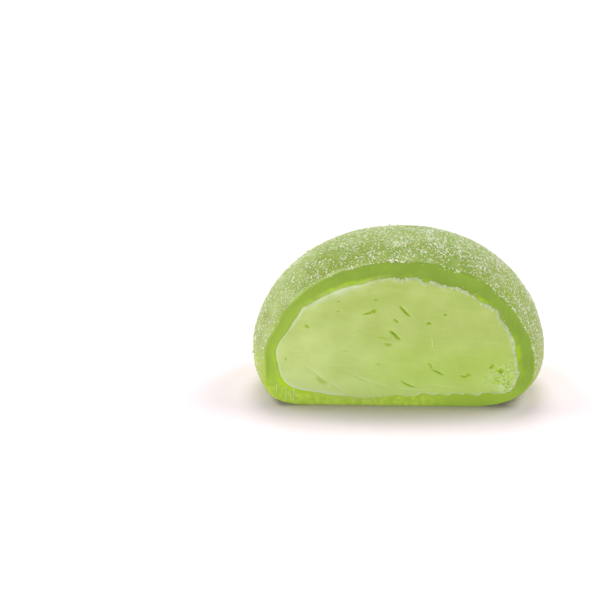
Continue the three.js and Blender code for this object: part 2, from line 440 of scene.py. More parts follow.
# Painted light: the ring is lighter near the base, less so at the right, with real mottles at the left.
dull_right = 0.3 * rising(dough_x, 0.0, 14.0) + 0.4 * rising(dough_x, 16.0, 20.0)
on_base = falling(dough_z, 1.4, 7.0) * (1 - dull_right)
mottling = on_base * falling(dough_x, 2.0, 12.0)

# The starch's film of damp dust, thick at the left and with a painted sheen further back, and bare golden
# skin at the right; low at the left, painted light in a bright golden green against the shade of the flank
# that turns down.
low = falling(dough_z, 6.0, 10.0)
# Low at the left: painted light against the shade of the downward flank.
low_left = rising(-dough_x, 16.0, 20.0) * low
low_right = rising(dough_x, 16.0, 20.0) * low
film = 0.02 + 0.12 * hills(dough_rows, 4.0, 15) + 0.85 * rising(-dough_x, 10.5, 20.0)
film = film + 0.1 * rising(dough_x, 12.0, 19.0) + bumps(turn, EDGE_FILM) * falling(behind_cut, 0.25, 0.9)
film = film - 0.35 * rising(behind_cut, 1.5, 5.0) * rising(-dough_x, 16.0, 21.0)
film = np.clip(film * (0.6 + 0.4 * rising(dough_z, 4.0, 12.0)), 0, 1)
film = film * (1 - 0.75 * low_left - 0.6 * low_right)
# Painted sheen: the pale film grows further back from the cut, towards the outline.
film = np.clip(film + 0.3 * rising(behind_cut, 4.0, 10.0) * (1 - film), 0, 1)
golden = np.maximum(rising(dough_x, 9.0, 20.0) * (1 - 0.4 * rising(dough_z, 6.0, 12.0)), low_left)
open_rows = len(wall) + len(groove) + len(ring)
dusted = np.concatenate([np.zeros(open_rows), np.linspace(0.2, 1, EDGE_ROWS), np.ones(OUTSIDE_ROWS)])

dough_material, tree = start_material("green_tea_rice_dough", 0.55, 0.3, (1.1, 1.4, 0.3), 0.05)
strokes = patches(tree, 0.35, 3.0, 0.42, 0.7, stretch=(1, 1, 0.15))
mottles = times(tree, patches(tree, 0.7, 4.0, 0.38, 0.64), "mottling")
base_colour = blend(tree, "#AACE43", ("#C2E056", mottles))
cut_colour = blend(
    tree,
    "#7D9E34",
    ("#85A638", patches(tree, 3.2, 3.0, 0.35, 0.65)),
    ("#98B544", strokes, 0.2),
    ("#98B545", "drawn", 0.12),
    # Painted light at the left of the ring.
    ("#A2C346", "moist"),
    # Painted light near the base, with mottles.
    (base_colour, "on_base"),
    # Painted glow of light through the thin dough at the filling.
    ("#B0DE00", "wet"),
    ("#B6CE66", "smear"),
)
skin_colour = blend(
    tree,
    "#729228",
    ("#819327", patches(tree, 1.4, 4.0, 0.36, 0.64)),
    # Bare golden skin at the right, and painted light low at the left.
    ("#ABC444", "golden", 0.85),
    # Starch film, and a painted sheen further back.
    (blend(tree, "#A1B85E", ("#BBCB88", patches(tree, 0.3, 3.0, 0.4, 0.68))), "film"),
)
finish_material(tree, blend(tree, cut_colour, (skin_colour, "dusted")), 0.4, 0.03, detail=4.0)


def with_ends(rows, last=0.0):
    """The values of all rows, between 0 for the first point and the value for the last."""
    return np.concatenate([[0], rows.ravel(), [last]])


dough = make_mesh(
    "rice_dough_cup",
    dough_points,
    loft_faces(len(dough_rows), DOUGH_TURNS),
    dough_material,
    wet=with_ends(wet),
    drawn=with_ends(drawn),
    moist=with_ends(moist),
    smear=with_ends(smear),
    on_base=with_ends(on_base),
    mottling=with_ends(mottling),
    dusted=with_ends(np.repeat(dusted, DOUGH_TURNS), 1.0),
    film=with_ends(film, 0.2),
    golden=with_ends(golden),
)
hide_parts("mochi_skin")
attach(dough, "root")


# --------------------
# The filling: a stiff white bean paste with green tea, packed into the dough. The knife dragged it
# from upper right to lower left, opened short cracks, and tore its rim into pale teeth. At the
# lower right it broke up into crumbs.
FILLING_CLEARANCE = 0.02
SEAM_OVERLAP = 0.03
SEAM_TILT = 0.03
FACE_CELLS = 280
RIM_CROWDING = 0.25
CORNER_CROWDING = 0.35
FILLING_ROWS = 14

FACE_DEPTH = 0.06
# Hills of the cut face, and hills drawn out by the knife: the height of each layer, its breadth and its seed.
FACE_HILLS = [(0.02, 7.0, 45), (0.014, 1.8, 46), (0.006, 0.45, 48)]
DRAGGED_HILLS = [(0.002, 0.8, 47)]
RIM_HILLS = [(0.02, 0.5, 49)]
RIM_ROUNDING = 0.08
RIM_SLOPE = 0.4
GENTLE_RIM = [(135, 26, 0.3)]
LIP_PLACE = 0.2
LIP_WIDTH = 0.21
LIP_HEIGHT = 0.05

# Cracks that the knife opened: place on the cut face, length, width, depth, and turn in degrees.
# The widths and depths of the list are multiplied by the two factors.
WIDTH_FACTOR = 1.1
DEPTH_FACTOR = 0.6
CRACKS = [
    (-4.5, 14.8, 2.0, 0.26, 0.4, 19), (-3.7, 15.1, 0.6, 0.42, 0.5, 10), (0.9, 15.1, 2.5, 0.3, 0.6, -44),
    (-0.4, 13.6, 1.0, 0.28, 0.4, -29), (-0.5, 11.3, 2.4, 0.32, 0.6, -40), (-1.5, 9.8, 1.2, 0.28, 0.35, -14),
    (4.6, 13.2, 0.8, 0.3, 0.4, -2), (7.0, 14.6, 0.6, 0.3, 0.35, 1), (-13.8, 12.6, 0.9, 0.32, 0.4, -24),
    (-9.0, 16.6, 0.5, 0.24, 0.22, -8), (-9.1, 15.0, 0.5, 0.22, 0.2, -10), (-5.9, 12.0, 0.5, 0.22, 0.15, -8),
    (-3.4, 16.9, 0.6, 0.3, 0.22, -20), (-2.4, 10.9, 1.6, 0.3, 0.14, -16), (-8.0, 8.7, 1.2, 0.22, 0.12, -6),
    (-3.0, 6.6, 0.9, 0.25, 0.14, -12), (4.9, 6.5, 1.3, 0.24, 0.32, -56), (6.1, 5.4, 2.0, 0.28, 0.36, -24),
    (9.8, 4.8, 0.8, 0.28, 0.34, -39), (10.5, 4.9, 1.5, 0.28, 0.3, 22), (14.2, 6.4, 0.9, 0.34, 0.5, 46),
    (15.6, 5.7, 0.8, 0.6, 0.55, 35), (1.5, 3.4, 2.6, 0.26, 0.26, -24), (-11.6, 3.9, 2.3, 0.7, 0.15, -32),
    (-17.0, 7.4, 0.6, 0.35, 0.2, 20),
]
# Long shallow scores from the knife, in the same order of numbers.
SCORES = [
    (-12.6, 5.2, 4.6, 0.22, 0.07, -37), (-9.3, 2.9, 2.6, 0.2, 0.07, -41), (-5.5, 4.4, 6.0, 0.22, 0.06, -22),
    (-2.5, 3.2, 5.0, 0.2, 0.05, -24), (2.2, 2.6, 5.0, 0.2, 0.06, -6), (7.0, 3.1, 6.0, 0.2, 0.06, -5),
    (-15.0, 8.6, 3.4, 0.2, 0.05, 3), (-9.0, 6.4, 5.4, 0.2, 0.04, -4), (-4.0, 17.9, 5.5, 0.16, 0.06, 12),
    (-9.6, 17.2, 4.0, 0.14, 0.06, 20), (5.0, 10.0, 0.18, 1.3, 0.04, 0),
]
# Each crack has a painted highlight, and each score a painted shade, beside its edge, as far across and up as
# these say.
CRACK_LIP_SHIFT = (0.1, 0.14)
SCORE_SHADE_SHIFT = (-0.12, -0.16)

CRUMBLED_PLACE = (16.6, 4.4)
CRUMBLED_REACH = (3.9, 3.4)
CRUMBLED_CELLS = 420
CRUMBLED_DEPTH = 0.2
CRUMBLED_LIFT = 0.03

# The torn rim dries pale, most of all at the right, at the lower left and along the base.
PALE_RIM = [
    (8, 18, 0.65), (50, 8, 0.25), (78, 8, 0.4), (130, 26, 0.65), (163, 12, 0.5),
    (192, 16, 0.45), (209, 9, 0.6), (312, 24, 0.65), (342, 6, 0.65),
]
PALE_WIDENING = [(5, 25, 0.15), (130, 22, 0.85), (201, 9, 0.3)]


def pressed_disc(cells):
    """A square grid pressed into a disc. Its squares become rings, and come back as a share of the way out
    and a turn. The points of the outermost ring follow, in order round the disc."""
    side = np.linspace(-1, 1, cells + 1)
    u, v = np.meshgrid(side, side, indexing="ij")
    wide = np.abs(u) >= np.abs(v)
    safe_u = np.where(u == 0, 1, u)
    safe_v = np.where(v == 0, 1, v)
    share = np.where(wide, u, v)
    angle = np.where(wide, np.pi / 4 * v / safe_u, np.pi / 2 - np.pi / 4 * u / safe_v)
    angle = np.where(share < 0, angle + np.pi, angle)
    index = np.arange((cells + 1) ** 2).reshape(cells + 1, cells + 1)
    border = np.concatenate([index[-1, :-1], index[::-1, -1][:-1], index[0, ::-1][:-1], index[:, 0][:-1]])
    return np.abs(share).ravel(), np.mod(angle, 2 * np.pi).ravel(), index, border


def notch_depth(x, z, notches):
    """Depth of a set of boat-shaped notches: each is deepest in its middle and runs out to both ends."""
    depth = np.zeros(x.shape)
    for place_x, place_z, length, width, deep, turned in notches:
        angle = np.radians(turned)
        along = (x - place_x) * np.cos(angle) + (z - place_z) * np.sin(angle)
        aside = (z - place_z) * np.cos(angle) - (x - place_x) * np.sin(angle)
        aside = aside + 0.05 * np.sin(along * 7 / length + place_x)
        keel = np.clip(1 - (2 * along / length) ** 2, 0, 1)
        section = np.exp(-((2 * aside / (WIDTH_FACTOR * width)) ** 2) * 1.4)
        depth = np.maximum(depth, DEPTH_FACTOR * deep * keel * section)
    return depth


def broken_ground(x, z):
    """Cells of broken paste round random places. It gives for each point how much further the second nearest
    place lies than the nearest, 0 on the ridges between cells, and a random depth for its cell, 0 to 1."""
    draw = np.random.default_rng(31)
    places_x = CRUMBLED_PLACE[0] + CRUMBLED_REACH[0] * draw.uniform(-1.3, 1.3, CRUMBLED_CELLS)
    places_z = CRUMBLED_PLACE[1] + CRUMBLED_REACH[1] * draw.uniform(-1.3, 1.3, CRUMBLED_CELLS)
    depths = draw.uniform(0.0, 1.0, CRUMBLED_CELLS)
    nearest = np.full(x.shape, LONGEST_RAY)
    second = nearest.copy()
    cell_depth = np.zeros(x.shape)
    for place_x, place_z, depth in zip(places_x, places_z, depths):
        away = np.hypot(x - place_x, z - place_z)
        cell_depth = np.where(away < nearest, depth, cell_depth)
        second = np.minimum(second, np.maximum(away, nearest))
        nearest = np.minimum(nearest, away)
    return second - nearest, cell_depth


# The cells of the cut face are smaller near the rim, and smallest where the paste is broken.
share, face_turn, face_index, border = pressed_disc(FACE_CELLS)
share = share + RIM_CROWDING * share * (1 - share)
corner_turn = np.arctan2(CRUMBLED_PLACE[1] - MIDDLE[2], CRUMBLED_PLACE[0])
face_turn = np.mod(face_turn - CORNER_CROWDING * np.sin(face_turn - corner_turn), 2 * np.pi)
face_reach = dome_reach(HOLLOW, face_turn, 0.0) + (rim_offset(face_turn) + SEAM_OVERLAP) * share**8
face = MIDDLE + ray_way(face_turn, 0.0) * (share * face_reach)[:, None]
x, z = face[:, 0], face[:, 2]
from_rim = (1 - share) * face_reach
flat = join(x, 0, z)
dragged = join(0.22 * (x * 0.95 - z * 0.3), 0, 1.6 * (z * 0.95 + x * 0.3))
cracks = notch_depth(x, z, CRACKS)
scores = notch_depth(x, z, SCORES)
lip = bell(from_rim, LIP_PLACE, LIP_WIDTH)
lip = lip * (0.2 + 0.8 * ragged(face_turn, 130, 44)) * (0.4 + 0.9 * ragged(face_turn, 34, 57))
from_corner = (face[:, [0, 2]] - CRUMBLED_PLACE) / CRUMBLED_REACH
crumbled = rising(1.25 - np.linalg.norm(from_corner, axis=-1), 0.1, 1.0)
from_ridge, cell_depth = broken_ground(x, z)
pits = rising(from_ridge, 0.06, 0.26) * (0.25 + 0.75 * cell_depth)

face_depth = FACE_DEPTH + layered_hills(flat, FACE_HILLS) + layered_hills(dragged, DRAGGED_HILLS)
face_depth += cracks + scores
face_depth += crumbled * (CRUMBLED_DEPTH * pits - CRUMBLED_LIFT) - LIP_HEIGHT * lip
rim_slope = RIM_SLOPE - bumps(face_turn, GENTLE_RIM)
face_depth += rim_slope * np.clip(RIM_ROUNDING - from_rim, 0, None) ** 2 / RIM_ROUNDING
face_depth += rising(share, 0.96, 1.0) * layered_hills(flat, RIM_HILLS)
face[:, 1] += face_depth

body_tilts = np.linspace(SECOND_TILT, np.pi / 2, FILLING_ROWS - 1)[:-1]
body_tilts = np.append([SEAM_TILT, FIRST_TILT], body_tilts)
body = hollow_points(face_turn[border], body_tilts[:, None], FILLING_CLEARANCE)
filling_end = hollow_points(np.zeros(1), np.pi / 2, FILLING_CLEARANCE)
filling_points = np.concatenate([face, body.reshape(-1, 3), filling_end])

face_quads = join(face_index[:-1, :-1], face_index[1:, :-1], face_index[1:, 1:], face_index[:-1, 1:])
body_index = len(face) + np.arange(body.size // 3).reshape(body.shape[:2])
body_index = np.concatenate([border[None], body_index])
next_index = np.roll(body_index, -1, axis=1)
body_quads = join(body_index[:-1], body_index[1:], next_index[1:], next_index[:-1])
end_fan = join(body_index[-1], len(filling_points) - 1, next_index[-1])

# The looks of the filling: pale where it is torn or dried, with painted highlights beside the cracks, damp
# and dark in the notches with painted shade beside the scores, a knife smear with painted light at the lower
# left, painted light along the base and in the middle, and painted brighter green light low at the right,
# with the bright green ground of the crumbled corner.
pale_strength = 0.2 + np.clip(bumps(face_turn, PALE_RIM), 0, 0.65)
pale_width = 0.1 + pale_strength * (0.15 + 0.3 * ragged(face_turn, 60, 58)) + bumps(face_turn, PALE_WIDENING)
rim_pale = bell(from_rim, 0, pale_width) * pale_strength * (0.6 + 0.6 * ragged(face_turn, 110, 50))
# Painted highlight on one edge of each crack.
crack_lips = notch_depth(x - CRACK_LIP_SHIFT[0], z - CRACK_LIP_SHIFT[1], CRACKS)
ridges = crumbled * falling(from_ridge, 0.03, 0.14) * rising(hills(flat, 1.2, 60), -1.4, 0.6)
# Pale where torn, dried, scored or on the crumbled ridges, with painted highlights beside the cracks.
pale = np.clip(rim_pale + 0.55 * np.clip(crack_lips * 3 - cracks * 7, 0, 1) + 9.0 * scores, 0, 1)
pale = np.maximum(pale, 0.7 * ridges)
score_shades = notch_depth(x - SCORE_SHADE_SHIFT[0], z - SCORE_SHADE_SHIFT[1], SCORES)
score_shades = np.clip(score_shades - 0.5 * scores, 0, 1)
# Damp and dark in the cracks and the broken pits, and painted shade beside the scores.
damp = np.clip(cracks * 9.0, 0, 1) + 0.4 * crumbled * rising(pits, 0.2, 0.8)
damp = np.clip(damp + 6.0 * score_shades, 0, 1)
# Paler towards the lower left, a knife smear and painted light, and painted light along the base and in the
# middle.
smeared = 0.9 * rising(-x - 0.8 * (z - 8), -2.0, 22.0) + 0.1 * hills(flat, 5.0, 59)
smeared += 0.85 * falling(z, 1.5, 6.0) + 0.35 * bell(x, -2, 8) * bell(z, 8, 5)
# Painted light: brighter green low in the middle and at the right; and the real bright green ground of the
# crumbled corner.
fresh = 0.5 * falling(z, 4.0, 13.0) * rising(x, -14.0, 4.0)
fresh = np.maximum(fresh, crumbled * rising(hills(flat, 1.1, 61), -0.3, 0.6))
behind = np.zeros(body.size // 3 + 1)
damp_behind = behind.copy()
damp_behind[: 2 * len(border)] = 0.6

filling_material, tree = start_material("green_tea_bean_paste", 0.55, 0.3, (1.0, 1.2, 0.4), 0.05)
streaks = patches(tree, 0.8, 4.0, 0.5, 0.75, stretch=(0.12, 1, 1), turn=(0, 0.12, 0))
paste_colour = blend(
    tree,
    "#A8BF60",
    ("#AFC56C", patches(tree, 4.0, 3.0, 0.3, 0.7)),
    ("#CAD892", streaks, 0.2),
    # Knife smear and painted light.
    ("#CBE092", "smeared", 0.8),
    # Painted light low on the face, and the crumbled corner's green.
    ("#B4DA54", "fresh", 0.85),
    ("#A2BA4C", patches(tree, 0.22, 2.0, 0.6, 0.8), 0.25),
    # Pale paste, and painted highlights beside the cracks.
    ("#D8E9C8", "pale", 0.8),
    # Damp in the notches, and painted shade beside the scores.
    ("#98BC0C", "damp", 0.8),
)
finish_material(tree, paste_colour, 0.18, 0.02, detail=3.0)

filling = make_mesh(
    "matcha_filling_mass",
    filling_points,
    [face_quads.reshape(-1, 4), body_quads.reshape(-1, 4), end_fan],
    filling_material,
    pale=np.concatenate([pale, behind]),
    smeared=np.concatenate([np.clip(smeared, 0, 1), behind]),
    fresh=np.concatenate([fresh, behind]),
    damp=np.concatenate([damp, damp_behind]),
)
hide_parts("matcha_filling")
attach(filling, "root")


# --------------------
# Torn flakes: thin shreds of the filling that the knife pulled over the ring of dough. They hang on
# the rim by their roots, stand a little off the dough and dry to a pale green.
# The large shreds: place in degrees, length, width at the root, curl off the cut face, and lean in degrees.
LARGE_SHREDS = [
    (101, 0.45, 0.8, 0.04, 20), (89, 0.7, 0.8, 0.1, -35), (84, 0.7, 0.7, 0.08, 40),
    (79, 0.75, 0.9, 0.12, -30), (73, 0.6, 1.4, 0.06, -20), (66, 0.65, 1.2, 0.1, -40),
    (58, 0.65, 1.3, 0.08, 20), (51, 0.7, 1.0, 0.12, -25), (44, 0.6, 1.0, 0.1, 30),
    (150, 0.55, 1.3, 0.06, -40), (16, 0.5, 0.9, 0.08, 25), (3, 0.55, 0.9, 0.08, -30),
    (352, 0.5, 0.8, 0.08, 20),
]
# Where the small ones are, how many, and between which lengths, widths, curls and leans they are drawn.
TORN_PLACES = [(75, 22, 1.0), (15, 30, 0.5)]
SMALL_SHREDS = 70
SMALL_SIZES = [(0.36, 0.6), (0.25, 0.8), (0.01, 0.06), (-0.9, 0.9)]
ROOT_INSIDE_RIM = 0.42
SHRED_THICKNESS = 0.05
SHRED_SECTIONS = 8
SHRED_SIDES = 8


def shred_points(place, length, width, curl, lean):
    """Shreds from their roots on the rim to their tips. Along a shred the width shrinks as a power of what is
    left of its length, its middle curls off the cut as the square of the way, and a section is a lens."""
    along = np.linspace(0.0, 1.0, SHRED_SECTIONS)[:, None]
    around = round_trip(SHRED_SIDES)
    place, length, width, curl, lean = (value[:, None, None] for value in (place, length, width, curl, lean))
    outwards = ray_way(place, 0.0)
    aside = ray_way(place + np.pi / 2, 0.0)
    way = outwards * np.cos(lean)[..., None] + aside * np.sin(lean)[..., None]
    beside = aside * np.cos(lean)[..., None] - outwards * np.sin(lean)[..., None]
    reach = rim_reach(place) - ROOT_INSIDE_RIM
    taper = np.clip(1 - along, 0.02, 1) ** 0.55 * (1 + 0.22 * np.sin(9 * along + 40 * place))
    half_width = width / 2 * taper
    half_thickness = SHRED_THICKNESS / 2 * (1 - 0.7 * along)
    off_cut = 0.01 + curl * along**2
    middle = MIDDLE + outwards * reach[..., None] + way * (length * along)[..., None]
    points = middle + beside * (half_width * np.cos(around))[..., None]
    points[..., 1] += -off_cut - half_thickness * np.sin(around) + 0.16 * curl * np.cos(around) ** 2
    return points


def tube_faces(points):
    """Faces of many closed tubes at once, each a stack of sections of points with its two ends filled in."""
    count, sections, sides = points.shape[:3]
    start = (sections * sides * np.arange(count))[:, None, None]
    section = sides * np.arange(sections - 1)[None, :, None]
    side = np.arange(sides)[None, None, :]
    following = (side + 1) % sides
    near, far = start + section, start + section + sides
    quads = join(near + side, far + side, far + following, near + following)
    cap = start[:, 0] + np.arange(sides)
    return [quads.reshape(-1, 4), cap, cap[:, ::-1] + (sections - 1) * sides]


def pick(draw, count, chance):
    """Numbers of so many different things, drawn at random, each with its chance."""
    return draw.choice(len(chance), count, replace=False, p=chance / chance.sum())


draw = np.random.default_rng(51)
torn_places = np.radians(draw.uniform(0, 360, 4 * SMALL_SHREDS))
torn_places = torn_places[pick(draw, SMALL_SHREDS, bumps(torn_places, TORN_PLACES))]
small = np.stack([torn_places] + [draw.uniform(*limits, SMALL_SHREDS) for limits in SMALL_SIZES])
large = np.array(LARGE_SHREDS).T
large[[0, 4]] = np.radians(large[[0, 4]])
shreds = shred_points(*np.concatenate([large, small], axis=1))

flake_material, tree = start_material("dried_bean_paste_flakes", 0.6, 0.3, (0.8, 1.0, 0.4), 0.1)
flake_colour = blend(tree, "#B6CE80", ("#CEE0A8", patches(tree, 0.5, 3.0, 0.35, 0.65)))
finish_material(tree, flake_colour, 0.15, 0.02)

flakes = make_mesh("torn_flakes", shreds, tube_faces(shreds), flake_material)
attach(flakes, "root")


# --------------------
# Crumbs: loose bits of the filling that stick where it broke up, at the lower right and here and
# there along the rim. They are rounded, drier than the mass, and pale in patches.
HEAP_CRUMBS = 60
HEAP_DEPTH = 0.06
HEAP_SIZES = (0.03, 0.065)
RIM_CRUMBS = 150
RIM_CRUMB_SIZES = (0.03, 0.07)
# Where crumbs stick along the rim, in degrees, and how far they stray round it, in degrees, and across it.
RIM_CRUMB_PLACES = [75, 48, 42, 36, 31, 25, 12, 352, 342]
RIM_CRUMB_STRAY = 5
RIM_CRUMB_REACH = (-0.1, 0.25)
CRUMB_CORNERS = (5, 6)


def lumps(centres, sizes, axes, seed, corners):
    """Rounded lumps: balls whose radius varies at random from point to point, drawn out along three axes.
    The corners are how many sections a ball has, and how many points go round each."""
    sections, sides = corners
    draw = np.random.default_rng(seed)
    polar = np.linspace(0.04, np.pi - 0.04, sections)[:, None]
    around = round_trip(sides)
    ball = join(np.cos(polar), np.sin(polar) * np.cos(around), np.sin(polar) * np.sin(around))
    rough = 1 + 0.14 * draw.normal(size=(len(centres), sections, sides, 1)) * np.sin(polar)[None, :, :, None]
    shaped = ball[None] * sizes[:, None, None, :] * rough
    return centres[:, None, None] + np.einsum("nabi,nij->nabj", shaped, axes)


def unit(vectors):
    """Vectors divided by their lengths."""
    return vectors / np.maximum(np.linalg.norm(vectors, axis=-1, keepdims=True), 1e-9)


def random_axes(draw, count):
    """Sets of three axes at right angles, turned at random."""
    first = unit(draw.normal(size=(count, 3)))
    second = unit(np.cross(first, draw.normal(size=(count, 3))))
    return np.stack([first, second, np.cross(first, second)], 1)


draw = np.random.default_rng(61)
heap_angle = draw.uniform(0, 2 * np.pi, HEAP_CRUMBS)
heap_share = draw.uniform(0, 1, HEAP_CRUMBS) ** 0.7 * 1.15
heap_x = CRUMBLED_PLACE[0] + CRUMBLED_REACH[0] * heap_share * np.cos(heap_angle)
heap_z = CRUMBLED_PLACE[1] + CRUMBLED_REACH[1] * heap_share * np.sin(heap_angle)
heap = join(heap_x, CUT_Y + HEAP_DEPTH, heap_z)
heap_turn = np.arctan2(heap_z - MIDDLE[2], heap_x)
heap = heap[np.hypot(heap_x, heap_z - MIDDLE[2]) < rim_reach(heap_turn) - 0.2]

rim_turn = draw.choice(RIM_CRUMB_PLACES, RIM_CRUMBS) + draw.normal(0, RIM_CRUMB_STRAY, RIM_CRUMBS)
rim_turn = np.radians(rim_turn)
rim_place = rim_reach(rim_turn) + draw.normal(*RIM_CRUMB_REACH, RIM_CRUMBS)
on_rim = MIDDLE + ray_way(rim_turn, 0.0) * rim_place[:, None] + [0, HEAP_DEPTH / 2, 0]
crumb_centres = np.concatenate([heap, on_rim])
crumb_size = [draw.uniform(*HEAP_SIZES, len(heap)), draw.uniform(*RIM_CRUMB_SIZES, RIM_CRUMBS)]
crumb_sizes = np.concatenate(crumb_size)[:, None] * draw.uniform(0.7, 1.3, (len(crumb_centres), 3))
crumb_axes = random_axes(draw, len(crumb_centres))
crumb_lumps = lumps(crumb_centres, crumb_sizes, crumb_axes, 62, CRUMB_CORNERS)

crumb_material, tree = start_material("dried_bean_paste_crumbs", 0.65, 0.2, (0.6, 0.8, 0.4), 0.1)
finish_material(tree, blend(tree, "#D6E2A2", ("#EFF3D6", patches(tree, 0.3, 2.0, 0.35, 0.65))))

crumbs = make_mesh("filling_crumbs", crumb_lumps, tube_faces(crumb_lumps), crumb_material)
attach(crumbs, "root")


# --------------------
# Drawn threads: where the blade left the sticky dough at the lower left, it pulled a few hair-thin
# strings down across the ring, and one on the filling. They lie on the cut and have dried almost white.
# Place of each thread's upper end on the cut face, its length and its thickness.
THREADS = [
    (-18.5, 3.5, 1.9, 0.1), (-17.0, 2.9, 2.2, 0.1), (-15.8, 2.6, 2.1, 0.12),
    (-16.2, 2.3, 1.2, 0.07), (5.1, 11.0, 1.6, 0.05),
]
THREAD_DEPTH = 0.05
THREAD_SWAY = 0.05
THREAD_SECTIONS = 14
THREAD_SIDES = 6

along = np.linspace(0, 1, THREAD_SECTIONS)[:, None]
around = round_trip(THREAD_SIDES)
thread_x, thread_z, thread_length, thread_thickness = np.array(THREADS).T[..., None, None]
thread_radius = thread_thickness / 2 * np.clip(np.sin(np.pi * (0.06 + 0.88 * along)), 0.1, 1) ** 0.5
thread_points = join(
    thread_x + THREAD_SWAY * np.sin(3 * along + thread_x) + thread_radius * np.cos(around),
    CUT_Y + THREAD_DEPTH + thread_radius * np.sin(around),
    thread_z - thread_length * along,
)

thread_faces = [rows[:, ::-1] for rows in tube_faces(thread_points)]
threads = make_mesh("drawn_threads", thread_points, thread_faces, crumb_material)
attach(threads, "root")


# --------------------
# Starch: the mochi was rolled in starch so that it wouldn't stick. Clotted grains and fine dust cling
# to the whole outside, in drifts, thinner near the base, and hang as a ragged fringe at the cut edge.
STREAK_COUNT = 1600
STREAK_LENGTH = 0.45
STREAK_SWING = 45.0
STREAK_SECTIONS = 6
STREAK_SIDES = 4
PAST_CUT = 0.1
GRAIN_COUNT = 6500
GRAIN_SIZE = 0.083
GRAIN_CORNERS = (4, 4)
FRINGE_COUNT = 240
FRINGE_PLACES = [(14, 14, 0.8), (36, 9, 0.9), (58, 9, 0.7), (94, 14, 0.15), (130, 3, 0.4)]
FRINGE_HANGING = [(58, 12, 1.5)]
FRINGE_TOP = 3.5
DUST_COUNT = 22000
DUST_SIZE = 0.048
CLOT_COUNT = 130
CLOT_SIZES = (0.11, 0.2)
CLOT_CORNERS = (8, 10)


def outward(points):
    """Unit normals of the dough's dome, from the slope of the distance beyond its side just under points."""
    points = MIDDLE + (points - MIDDLE) * 0.99
    slope = [beyond_side(DOUGH, points + way) - beyond_side(DOUGH, points - way) for way in 0.01 * np.eye(3)]
    return unit(join(*slope))


def scatter(draw, count, drift_size, drift_power, left_cover=1.0, crest_cover=0.0):
    """Random places on the outside, evenly over its area but for drifts and a thinner cover near the base.
    The cover at the left is a share of that at the right, and crest_cover is what the crest has more."""
    tries = 6 * count
    turn = draw.uniform(0, 2 * np.pi, tries)
    tilt = np.arcsin(draw.uniform(0.0, 1.0, tries))
    points = outside_points(turn, tilt)
    normals = outward(points)
    from_middle = points - MIDDLE
    distance = np.linalg.norm(from_middle, axis=-1)
    facing = np.clip(np.sum(normals * from_middle, -1) / distance, 0.15, 1)
    drifts = np.clip(1 + drift_power * hills(points, drift_size, 71), 0.05, None)
    x, z = points[:, 0], points[:, 2]
    left = rising(-x, 0.0, 13.0)
    right = rising(x, 8.0, 16.0)
    low = rising(z, 0.3 + 3.0 * right, 6.0 + 4.0 * left + 2.0 * right) * 0.75
    low = low + 0.25 * (z > 0.25) * (1 - 0.7 * left) * (1 - right)
    bare = 0.7 * bell(x, 8.0, 8.0) * falling(points[:, 1] - CUT_Y, 0.5, 5.0)
    chance = distance**2 / facing * drifts * low * (1 + (left_cover - 1) * left + 0.6 * right) * (1 - bare)
    chance = chance * (1 + crest_cover * bell(x, 7.5, 6.0))
    chosen = pick(draw, count, chance)
    return points[chosen], normals[chosen]


def whitenesses(draw, places, high, low):
    """Random whiteness of specks, with the powers of a beta draw: duller towards the left and low at the
    right, where damp has taken it."""
    x, z = places[:, 0], places[:, 2]
    duller = 0.3 * rising(-x, 3.0, 17.0) + 0.3 * rising(x, 15.0, 20.0) * falling(z, 5.0, 10.0)
    return draw.beta(high, low, len(places)) * (1 - duller)


def lying_axes(draw, normals, swing=180.0):
    """Three axes at right angles for each place: down the slope from the cut, turned at random by as much as
    swing in degrees either way, then across it, and the normal."""
    down = unit([0.0, 1.0, 0.0] - normals * normals[:, 1:2])
    across = np.cross(normals, down)
    angle = np.radians(draw.uniform(-swing, swing, len(normals)))[:, None]
    along = down * np.cos(angle) + across * np.sin(angle)
    return np.stack([along, np.cross(normals, along), normals], 1)


def add_starch(name, points, faces, whiteness):
    """A piece of starch on the dough, from the points and the whiteness of each speck."""
    whiteness = np.repeat(whiteness, points[0].size // 3)
    piece = make_mesh(name, points, faces, starch_material, whiteness=whiteness)
    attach(piece, "root")


draw = np.random.default_rng(81)
starch_material, tree = start_material("rolling_starch", 0.75, 0.1, (0.4, 0.5, 0.3), 0.15)
damp_specks = patches(tree, 0.09, 2.0, 0.3, 0.7)
starch_colour = blend(tree, "#C0CE92", ("#F5F7E8", "whiteness"), ("#C8D2A8", damp_specks, 0.2))
finish_material(tree, starch_colour)

# Streaks: starch that ran together into short crooked strings, mostly down the slope from the cut. They are
# longer and thinner on the crest, and none sticks out past the cut.
streak_places, streak_normals = scatter(draw, STREAK_COUNT, 3.0, 0.55, 0.5, 1.9)
streak_axes = lying_axes(draw, streak_normals, STREAK_SWING)
on_crest = bell(streak_places[:, 0], 4.5, 6.0) * rising(streak_places[:, 2], 15.0, 20.0)
streak_length = STREAK_LENGTH * np.exp(draw.normal(0, 0.35, STREAK_COUNT)) * (0.85 + 0.75 * on_crest)
streak_length = streak_length[:, None, None]
streak_radius = (draw.uniform(0.06, 0.095, STREAK_COUNT) * (1 - 0.25 * on_crest))[:, None, None]
along = np.linspace(-0.5, 0.5, STREAK_SECTIONS)[:, None]
around = round_trip(STREAK_SIDES)
bend = draw.normal(0, 0.5, (STREAK_COUNT, 1, 1))
kinks = draw.normal(0, 0.035, (STREAK_COUNT, STREAK_SECTIONS, 1))
thickness = streak_radius * np.clip(1 - (2 * along) ** 4, 0.12, 1) ** 0.5
thickness = thickness * draw.uniform(0.65, 1.25, (STREAK_COUNT, STREAK_SECTIONS, 1))
across_slope = streak_length * bend * along**2 + kinks + thickness * np.cos(around)
off_skin = 0.6 * thickness * (np.sin(around) + 0.5)
local = join(streak_length * along, across_slope, off_skin)
